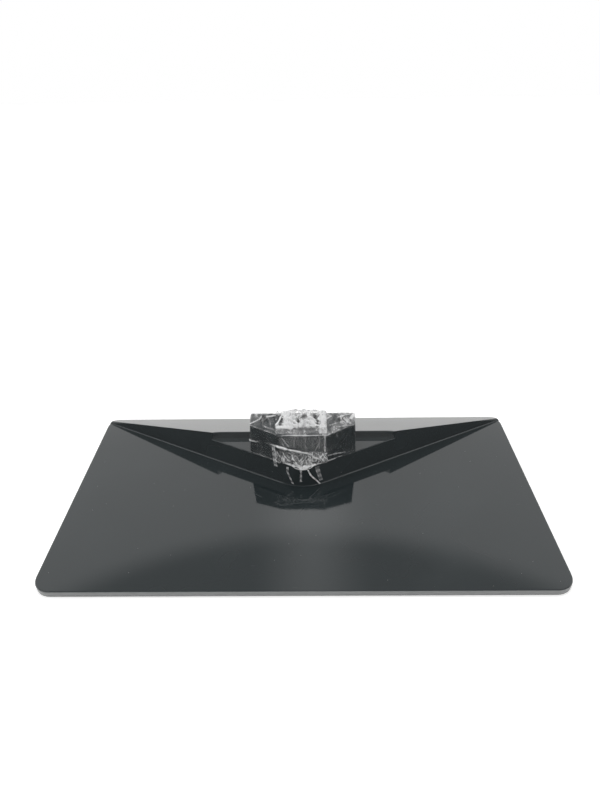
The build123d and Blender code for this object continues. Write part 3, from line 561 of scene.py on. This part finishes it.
filmBunch = {                               # all in millimetres but "flat" and "gapLength"
    "columns": 104, "rows": 160, "flat": (0.072, 0.11), "left": -36, "right": 32,
    "rimTip": 6.2, "rimSlope": 0.506, "rimRound": 5.2, "rimIn": 1.4, "rimHeight": 39.6,
    "lipIn": 1.5, "lipOut": 1.6, "lipHeight": 38.8, "hang": 3.0, "hangHalf": 15, "hangFade": 5,
    "noseLow": 20, "noseLean": 0.2589, "bottom": 39, "noseHalf": 30.5, "sideLean": 0.525,
    "frontClear": ((44.5, 4.0), (51, 2.7), (57, 1.9)), "brow": (75.5, 75.8), "clear": 1.9,
    "roofStart": 76, "roofIn": 1.6, "roofRear": 86.5, "roofSlope": 0.2962,
    "rear": 66, "rearStep": 0.4, "rearClear": 2.6, "rearHeights": (85, 73), "rearFade": 2,
    "tent": 8.2, "tentFrom": 39, "tentFront": 52, "tentRear": 55, "tentLevels": (0, 1, 1, 0.2),
    "tentHalf": 11, "tentFoot": 31, "tentSides": 1.6, "tentSkirt": 0.35,
    "borderAt": -35.5, "borderFrom": 43, "borderLean": 0.57, "borderFade": 1.5,
    "roofZone": (76.5, 78.5), "tentZone": (38.5, 41), "noseZone": (53, 57), "browZone": (75, 77),
    "gatherZone": (53, 58), "rimZone": (37.5, 41), "edgeZone": (38.5, 40.5), "rearZone": (66, 68),
    "rightZone": (20, 24), "gapZone": (-0.15, 0.6), "gapLength": 0.011, "gapStart": 7.0,
    "soften": 0.5, "softenTimes": 2,
    "tentHaze": 0.6, "tentCrest": 0.42, "tentGaps": 0.4, "tentAside": 0.3,
    "roofHaze": 0.23, "roofCrest": 0.12, "roofAside": 0.5, "roofRelief": 0.42,
    "noseHaze": 0.01, "noseCrest": 0.1, "gatherHaze": 0.22, "gatherCrest": 0.28,
    "rearHaze": 0.12, "rearCrest": 0.2, "rightHaze": 0.14, "edgeHaze": 0.3, "rimLift": 0.35,
    "gatherCrushed": 0.4, "roofCrushed": 0.25, "leastCrushed": 0.15, "mostCrushed": 0.85,
    "strandZone": (0.5, 0.9), "strandEven": 0.75,
    "roofFolds": [
        ((0.9, 0.35, 0), 10.5, 1.9, 0.35), ((-0.55, 0.8, 0), 8.5, 1.6, 0.4), ((0.3, 1, 0), 6.2, 0.8, 0.5),
        ((1, -0.2, 0.2), 4.4, 0.55, 0.5), ((-0.8, -0.6, 0.4), 3.1, 0.3, 0.6)],
    "noseFolds": [
        ((1, 0, 0.12), 8.7, 0.5, 0.5), ((0.7, 0, 0.7), 11, 0.4, 0.5), ((1, 0, -0.45), 5.3, 0.25, 0.5)],
    "gatherFolds": [
        ((1, 0, 0.1), 5.4, 1.3, 0.3), ((0.8, 0, 0.6), 7.9, 1.0, 0.4), ((-0.8, 0, 0.5), 4.1, 0.6, 0.5),
        ((0.2, 0, 1), 6.0, 0.5, 0.6)],
    # the milkiest strands are painted highlights
    "strands": [
        ([(-33, 25, 62), (-27, 23.8, 60.6), (-22, 23.4, 59)], 2.6, 1.0, 1.9),
        ([(-24, 23.4, 59.2), (-16.8, 23, 57.8), (-11, 22.5, 56.4)], 1.7, 0.6, 1.5),
        ([(-17, 22.8, 57.6), (-6.8, 22.3, 55.7), (-3, 22, 55)], 2.2, 0.78, 1.8),
        ([(-4, 22, 55), (3, 21.6, 53.5), (13, 21, 51.5)], 1.5, 0.55, 1.2),
        ([(-30, 28.5, 77.3), (-12, 29, 77.0), (8, 28.6, 76.6), (28, 28.8, 77.2)], 1.2, 0.5, 0.5),
        ([(3.8, 27, 74.3), (3.4, 25, 66), (4.4, 23, 57)], 2.0, 0.22, 0.5),
        ([(12, 27, 74), (14, 24, 60)], 2.6, 0.18, 0.3),
        ([(-10, 27, 74), (-12, 24, 62)], 2.2, 0.2, 0.3),
        ([(22, 27, 74), (21, 24, 60)], 3.6, 0.2, 0.3),
        ([(-27, 27, 74), (-18, 24, 62)], 1.6, 0.3, 0.4),
        ([(-27, 25, 69), (-24, 24.3, 62), (-25, 23, 55)], 1.1, 0.35, 0.6),
        ([(29.2, 27.5, 79), (29, 25, 64), (29.3, 21, 48)], 2.4, 0.34, 0.6),
        ([(14, 21, 51), (18, 23.5, 60), (23, 26, 70)], 1.7, 0.24, 0.4),
        ([(2, 10, 39.5), (5, 10, 39), (8, 11, 38.6)], 3.0, 1.0, 0.8),
        ([(-20, 18, 45), (-12, 15, 42), (-4, 11, 40)], 1.3, 0.6, 0.7),
        ([(-14, 20, 51), (-13, 18, 46), (-8, 14, 42)], 1.4, 0.7, 0.8),
        ([(-26, 19, 50), (-25, 17, 43)], 1.4, 0.5, 0.7),
        ([(8, 20, 50), (13, 17, 44), (12, 12, 40)], 1.2, 0.5, 0.7),
        ([(20, 20, 47), (16, 16, 43), (8, 12, 40)], 1.2, 0.5, 0.7),
        ([(31, 21, 47), (24, 19, 44), (14, 14, 41)], 1.1, 0.4, 0.6),
        ([(-26, 44, 84), (-14, 43, 84), (-7, 41, 83)], 3.2, 1.0, 1.6),
        ([(-18, 50, 89), (-9, 45, 86), (-3, 40.5, 82)], 2.6, 1.0, 1.8),
        ([(-3, 41, 82.5), (6, 46, 87), (13, 44, 84), (22, 42, 81)], 2.5, 1.0, 1.6),
        ([(-33, 40.5, 80.5), (-24, 41, 81.5), (-15, 39.5, 81)], 3.8, 1.0, 1.1),
        ([(-35, 43, 81), (-30, 52, 85), (-23, 64, 88)], 2.4, 0.9, 1.0),
        ([(8, 50, 90), (16, 49, 87), (24, 52, 85)], 1.5, 0.75, 1.2),
        ([(27, 38, 80), (28, 50, 84), (28, 64, 88)], 2.8, 0.62, 0.9)]}


def filmPath(x, cfg):                       # the film's line in Y and Z, from the rim over the neck, in mm
    aside = max(0, abs(x) - cfg["noseHalf"]) * cfg["sideLean"]

    def front(z):
        return cfg["noseLow"] + (z - cfg["bottom"]) * cfg["noseLean"] + aside

    def roof(y):
        return cfg["roofRear"] - (cfg["rear"] - y) * cfg["roofSlope"] + cfg["clear"]

    rim = cfg["rimTip"] + cfg["rimSlope"] * sqrt(x * x + cfg["rimRound"] ** 2)
    hang = cfg["hang"] * max(0, min(1, (cfg["hangHalf"] - abs(x)) / cfg["hangFade"]))
    foot = front(cfg["bottom"])
    line = [(min(rim, foot + cfg["lipIn"]) - cfg["lipOut"], cfg["lipHeight"] - hang),
            (min(rim + cfg["rimIn"], foot - cfg["clear"]), cfg["rimHeight"])]
    line += [(front(z) - clear, z) for z, clear in cfg["frontClear"]]
    line.append((front(cfg["brow"][0]) - cfg["clear"], cfg["brow"][1]))
    start = front(cfg["roofStart"]) + cfg["roofIn"]
    line += [(y, roof(y)) for y in (start, cfg["tentFrom"], cfg["tentFront"], cfg["tentRear"])]
    line.append((cfg["rear"] + cfg["rearStep"], roof(cfg["rear"])))
    line += [(cfg["rear"] + cfg["rearClear"], z) for z in cfg["rearHeights"]]
    return np.array(line)


def lengthShares(line):                     # how far along the line each of its points lies, and its length
    steps = np.concatenate(([0], np.cumsum(np.linalg.norm(np.diff(line, axis=0), axis=1))))
    return steps / steps[-1], steps[-1]


def gatherFilm():                           # gathered in front of the nose, bunched into a tent on the roof
    cfg = filmBunch
    deselectAll()
    bpy.ops.mesh.primitive_grid_add(x_subdivisions=cfg["columns"], y_subdivisions=cfg["rows"], size=2)
    piece = bpy.context.view_layer.objects.active
    cells = (pointValues(piece, "co") + 1) / 2
    across = np.round(between(cfg["left"], cfg["right"], cells[:, 0]), 4)   # one value for each column
    moved = np.empty_like(cells)
    for x in np.unique(across):
        column = across == x
        line = filmPath(float(x), cfg)
        shares = lengthShares(line)[0]
        moved[column, 0] = x
        moved[column, 1] = np.interp(cells[column, 1], shares, line[:, 0])
        moved[column, 2] = np.interp(cells[column, 1], shares, line[:, 1])
    x, y, z = moved.T
    onRoof = rise(z, *cfg["roofZone"]) * (1 - rise(y, cfg["rear"], cfg["rear"] + cfg["rearFade"]))
    tentLine = (cfg["tentFrom"], cfg["tentFront"], cfg["tentRear"], cfg["rear"])
    rising = np.interp(y, tentLine, cfg["tentLevels"])
    sides = np.interp(np.abs(x), (cfg["tentHalf"], cfg["tentFoot"]), (1, 0))
    moved[:, 2] += cfg["tent"] * rising * sides * onRoof
    place(piece, moved * mm)
    pick(piece)
    bpy.ops.object.mode_set(mode="EDIT")
    bpy.ops.mesh.select_all(action="SELECT")
    bpy.ops.mesh.vertices_smooth(factor=cfg["soften"], repeat=cfg["softenTimes"])
    bpy.ops.object.mode_set(mode="OBJECT")
    points, normals = pointValues(piece, "co"), pointValues(piece, "normal")
    x, y, z = points.T / mm
    slant = x - cfg["borderAt"] - (y - cfg["borderFrom"]) * cfg["borderLean"]
    border = rise(slant, -cfg["borderFade"], cfg["borderFade"])
    spread = np.clip(sides * cfg["tentSides"] + cfg["tentSkirt"], 0, 1)
    inTent = onRoof * rise(y, *cfg["tentZone"]) * spread
    frontRoof = onRoof * (1 - inTent)
    onNose = rise(z, *cfg["noseZone"]) * (1 - rise(z, *cfg["browZone"]))
    gathered = 1 - rise(z, *cfg["gatherZone"])
    offRim = rise(z, *cfg["rimZone"])
    edge = gathered * (1 - rise(z, *cfg["edgeZone"]))
    gaps = rise(wander(points, cfg["gapLength"], cfg["gapStart"]), *cfg["gapZone"])
    high, highCrest = crumple(points, cfg["roofFolds"])
    mid, midCrest = crumple(points, cfg["noseFolds"])
    low, lowCrest = crumple(points, cfg["gatherFolds"])
    drawn, lift = drawStrands(points, cfg["strands"])
    # the crest terms are painted highlights along the fold tops; the other terms are the film's own haze
    tentHaze = cfg["tentHaze"] + cfg["tentCrest"] * highCrest - cfg["tentGaps"] * gaps
    roofHaze = cfg["roofHaze"] + cfg["roofCrest"] * highCrest
    haze = inTent * tentHaze * between(cfg["tentAside"], 1, border)
    haze = haze + frontRoof * roofHaze * between(cfg["roofAside"], 1, border)
    haze = haze + onNose * (cfg["noseHaze"] + cfg["noseCrest"] * midCrest)
    haze = haze + gathered * (cfg["gatherHaze"] + cfg["gatherCrest"] * lowCrest) + cfg["edgeHaze"] * edge
    haze = haze + rise(y, *cfg["rearZone"]) * (cfg["rearHaze"] + cfg["rearCrest"] * highCrest)
    haze = haze + cfg["rightHaze"] * onRoof * rise(x, *cfg["rightZone"])
    crushed = inTent + cfg["gatherCrushed"] * gathered + cfg["roofCrushed"] * onRoof
    crushed = np.clip(crushed, cfg["leastCrushed"], cfg["mostCrushed"])
    crushed = crushed * (1 - cfg["strandEven"] * rise(drawn, *cfg["strandZone"]))
    keepLook(piece, np.maximum(haze, drawn), crushed)
    height = high * (inTent + cfg["roofRelief"] * frontRoof) + mid * onNose + low * gathered * offRim
    relief = height + lift * between(cfg["rimLift"], 1, offRim)
    place(piece, points + normals * relief[:, None])
    finishFilm(piece, "filmBunch")
    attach(piece, "neck")
    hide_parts("protective_film")


filmTails = {
    "steps": 26, "across": 3, "flat": (0.02, 0.019),
    "baseBelow": (0, 0.008, 0.013), "neckAbove": (0, 0.008, 0.038),
    "lean": 0.506, "noseRound": 8, "clear": 0.7, "ripple": 0.2, "rippleWave": 0.4,
    "twist": 0.5, "twistWave": 0.21, "narrowing": 0.1, "narrowWave": 0.3, "narrowStep": 2.0,
    "streak": 0.2, "streakWave": 0.8, "middleHaze": 0.7, "crushed": 0.15,
    "tails": [
        ([(-20, 11.6, 39), (-20.5, 10.8, 31), (-13.3, 3.4, 16.5)], 3.0, 0.5),
        ([(-2.4, 7.4, 37), (-2.5, 2.4, 21.3)], 3.2, 0.46),
        ([(6.7, 7.6, 37), (10, 6.6, 29), (22.5, 6.8, 13.6)], 2.2, 0.95),
        ([(18.6, 12, 38.8), (20, 10.8, 32), (24, 8.2, 18.4)], 5.6, 0.4),
        ([(-38.5, 26, 64.5), (-37, 18, 50), (-35, 11, 41)], 5.0, 0.44)]}


def hangTails():                            # loose ends that hang from the bunch in front of the riser
    cfg = filmTails
    strips = []
    for number, (route, width, haze) in enumerate(cfg["tails"]):
        deselectAll()
        bpy.ops.mesh.primitive_grid_add(x_subdivisions=cfg["across"], y_subdivisions=cfg["steps"], size=2)
        strip = bpy.context.view_layer.objects.active
        cells = pointValues(strip, "co")
        line = np.array(route, float)
        shares, length = lengthShares(line)
        along = (cells[:, 1] + 1) / 2
        centre = np.stack([np.interp(along, shares, line[:, axis]) for axis in range(3)], axis=1)
        along = along * length
        twist = cfg["twist"] * np.sin(along * cfg["twistWave"] + number)
        narrowed = 1 - cfg["narrowing"] * (1 - np.sin(along * cfg["narrowWave"] + cfg["narrowStep"] * number))
        sway = cells[:, 0] * width / 2 * narrowed
        lean = cfg["lean"] * np.clip(centre[:, 0] / cfg["noseRound"], -1, 1)    # as the riser slants
        ripple = cfg["ripple"] * (1 + np.sin(along * cfg["rippleWave"] + number))
        centre[:, 1] += sway * lean - cfg["clear"] - ripple
        centre[:, 0] += sway * np.cos(twist)
        place(strip, centre * mm)
        streaks = 1 - cfg["streak"] * (1 - np.sin(along * cfg["streakWave"] + number))
        thinner = between(cfg["middleHaze"], 1, np.abs(cells[:, 0]))
        keepLook(strip, haze * streaks * thinner, np.full(len(cells), cfg["crushed"]))
        strips.append(strip)
    deselectAll()
    for strip in strips:
        strip.select_set(True)
    bpy.context.view_layer.objects.active = strips[0]
    bpy.ops.object.join()
    piece = bpy.context.view_layer.objects.active
    finishFilm(piece, "filmTails")
    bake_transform(piece)


floorSettings = {"size": 8.0, "colour": (0.93, 0.93, 0.925, 1.0), "roughness": 0.8, "glow": 0.57}


def makeFloor():
    cfg = floorSettings
    deselectAll()
    bpy.ops.mesh.primitive_plane_add(size=cfg["size"], location=(0, 0, 0))
    floor = bpy.context.view_layer.objects.active
    floor.name = "studioFloor"
    values = {"Base Color": cfg["colour"], "Roughness": cfg["roughness"]}
    material, tree, shader, coords = newMaterial("paleFloor", values)
    seen = addNode(tree, "ShaderNodeLightPath").outputs["Is Camera Ray"]
    glow = addNode(tree, "ShaderNodeEmission", {"Color": (1, 1, 1, 1), "Strength": cfg["glow"]})
    mixed = addNode(tree, "ShaderNodeAddShader", {0: shader.outputs[0], 1: glow.outputs[0]})
    chooser = addNode(tree, "ShaderNodeMixShader", {0: seen, 1: shader.outputs[0], 2: mixed.outputs[0]})
    tree.links.new(chooser.outputs[0], tree.nodes["Material Output"].inputs["Surface"])
    floor.data.materials.append(material)


# The room, by direction: X, Y and Z are the parts of a unit vector, so Z 1 is straight up
worldSettings = {
    "wall": 1.0, "ceiling": 0.4, "ceilingFrom": 0.727, "ceilingTo": 0.758,
    "front": 0.22, "frontFrom": -0.35, "frontTo": 0.15, "shelf": 0.74, "shelfFrom": 0.5, "shelfTo": 0.6,
    "column": 0.38, "columnHalf": 0.11, "columnFrom": 0.64, "columnTo": 0.72,
    "strip": 3.2, "stripFrom": 0.53, "stripTo": 0.7, "stripFade": 0.09, "stripAhead": -0.2}


def makeWorld():
    cfg = worldSettings
    world = bpy.data.worlds.new("studioWorld")
    bpy.context.scene.world = world
    world.use_nodes = True
    tree = world.node_tree
    direction = addNode(tree, "ShaderNodeTexCoord").outputs["Generated"]
    x, y, z = addNode(tree, "ShaderNodeSeparateXYZ", {0: direction}).outputs
    upper = ramp(tree, z, cfg["ceilingFrom"], cfg["ceilingTo"], cfg["wall"], cfg["ceiling"])
    front = ramp(tree, y, cfg["frontFrom"], cfg["frontTo"], cfg["front"], 1.0)
    shelf = ramp(tree, z, cfg["shelfFrom"], cfg["shelfTo"], 1.0, cfg["shelf"])
    column = ramp(tree, maths(tree, "ABSOLUTE", x), cfg["columnHalf"], 0.0, 0.0, cfg["column"])
    column = maths(tree, "MULTIPLY", column, ramp(tree, z, cfg["columnFrom"], cfg["columnTo"]))
    lifted = maths(tree, "MULTIPLY_ADD", upper, shelf, column)
    strip = maths(tree, "MULTIPLY",
                  ramp(tree, z, cfg["stripFrom"], cfg["stripFrom"] + cfg["stripFade"]),
                  ramp(tree, z, cfg["stripTo"] + cfg["stripFade"], cfg["stripTo"], 0.0, cfg["strip"]))
    strip = maths(tree, "MULTIPLY", strip, ramp(tree, y, 0.0, cfg["stripAhead"]))
    bright = maths(tree, "MULTIPLY", lifted, maths(tree, "MAXIMUM", front, strip))
    seen = addNode(tree, "ShaderNodeLightPath").outputs["Is Camera Ray"]
    strength = addNode(tree, "ShaderNodeMix", {0: seen, 2: bright, 3: 1.0}, data_type="FLOAT")
    tree.links.new(strength.outputs[0], tree.nodes["Background"].inputs["Strength"])
    tree.nodes["Background"].inputs["Color"].default_value = (1, 1, 1, 1)


lampSettings = {"place": (-0.45, 0.12, 1.9), "aim": (0, 0.03, 0.06), "size": 1.0, "power": 7.0}


def makeLamp():
    cfg = lampSettings
    data = bpy.data.lights.new("keyLamp", "AREA")
    data.shape = "DISK"
    data.size = cfg["size"]
    data.energy = cfg["power"]
    lamp = bpy.data.objects.new("keyLamp", data)
    bpy.context.scene.collection.objects.link(lamp)
    lamp.location = cfg["place"]
    aim = Vector(cfg["aim"]) - Vector(cfg["place"])
    lamp.rotation_euler = aim.to_track_quat("-Z", "Y").to_euler()
    lamp.visible_glossy = False                     # the photo's gloss shows no lamp


cameraSettings = {
    "place": (0.0108, -0.5481, 0.5295), "yaw": -0.92, "pitch": 34.53, "roll": -1.0, "lens": 25.43,
    "sensor": 36, "shift": -3 / 800}


def makeCamera():
    cfg = cameraSettings
    yaw, pitch, roll = (radians(cfg[key]) for key in ("yaw", "pitch", "roll"))
    ahead = Vector((sin(yaw), cos(yaw), 0))
    side = Vector((cos(yaw), -sin(yaw), 0))
    up = Vector((0, 0, 1))
    look = ahead * cos(pitch) - up * sin(pitch)
    top = ahead * sin(pitch) + up * cos(pitch)
    right = side * cos(roll) + top * sin(roll)
    above = -side * sin(roll) + top * cos(roll)
    data = bpy.data.cameras.new("photoCamera")
    data.lens = cfg["lens"]
    data.sensor_width = cfg["sensor"]
    data.shift_x = cfg["shift"]
    camera = bpy.data.objects.new("photoCamera", data)
    bpy.context.scene.collection.objects.link(camera)
    turned = Matrix((right, above, -look)).transposed().to_4x4()
    camera.matrix_world = Matrix.Translation(cfg["place"]) @ turned
    bpy.context.scene.camera = camera


makeCamera()
makeFloor()
makeWorld()
makeLamp()
bpy.context.scene.view_settings.view_transform = "Standard"
print("camera, floor and light in place")

smoothCopy("plateAndRiser")
neckShell = smoothCopy("neckShell")
neckBackPanel = smoothCopy("neckBackPanel")
print("covers smoothed")

wrapFilm()
gatherFilm()
hangTails()
print("film wrapped, gathered and hung")
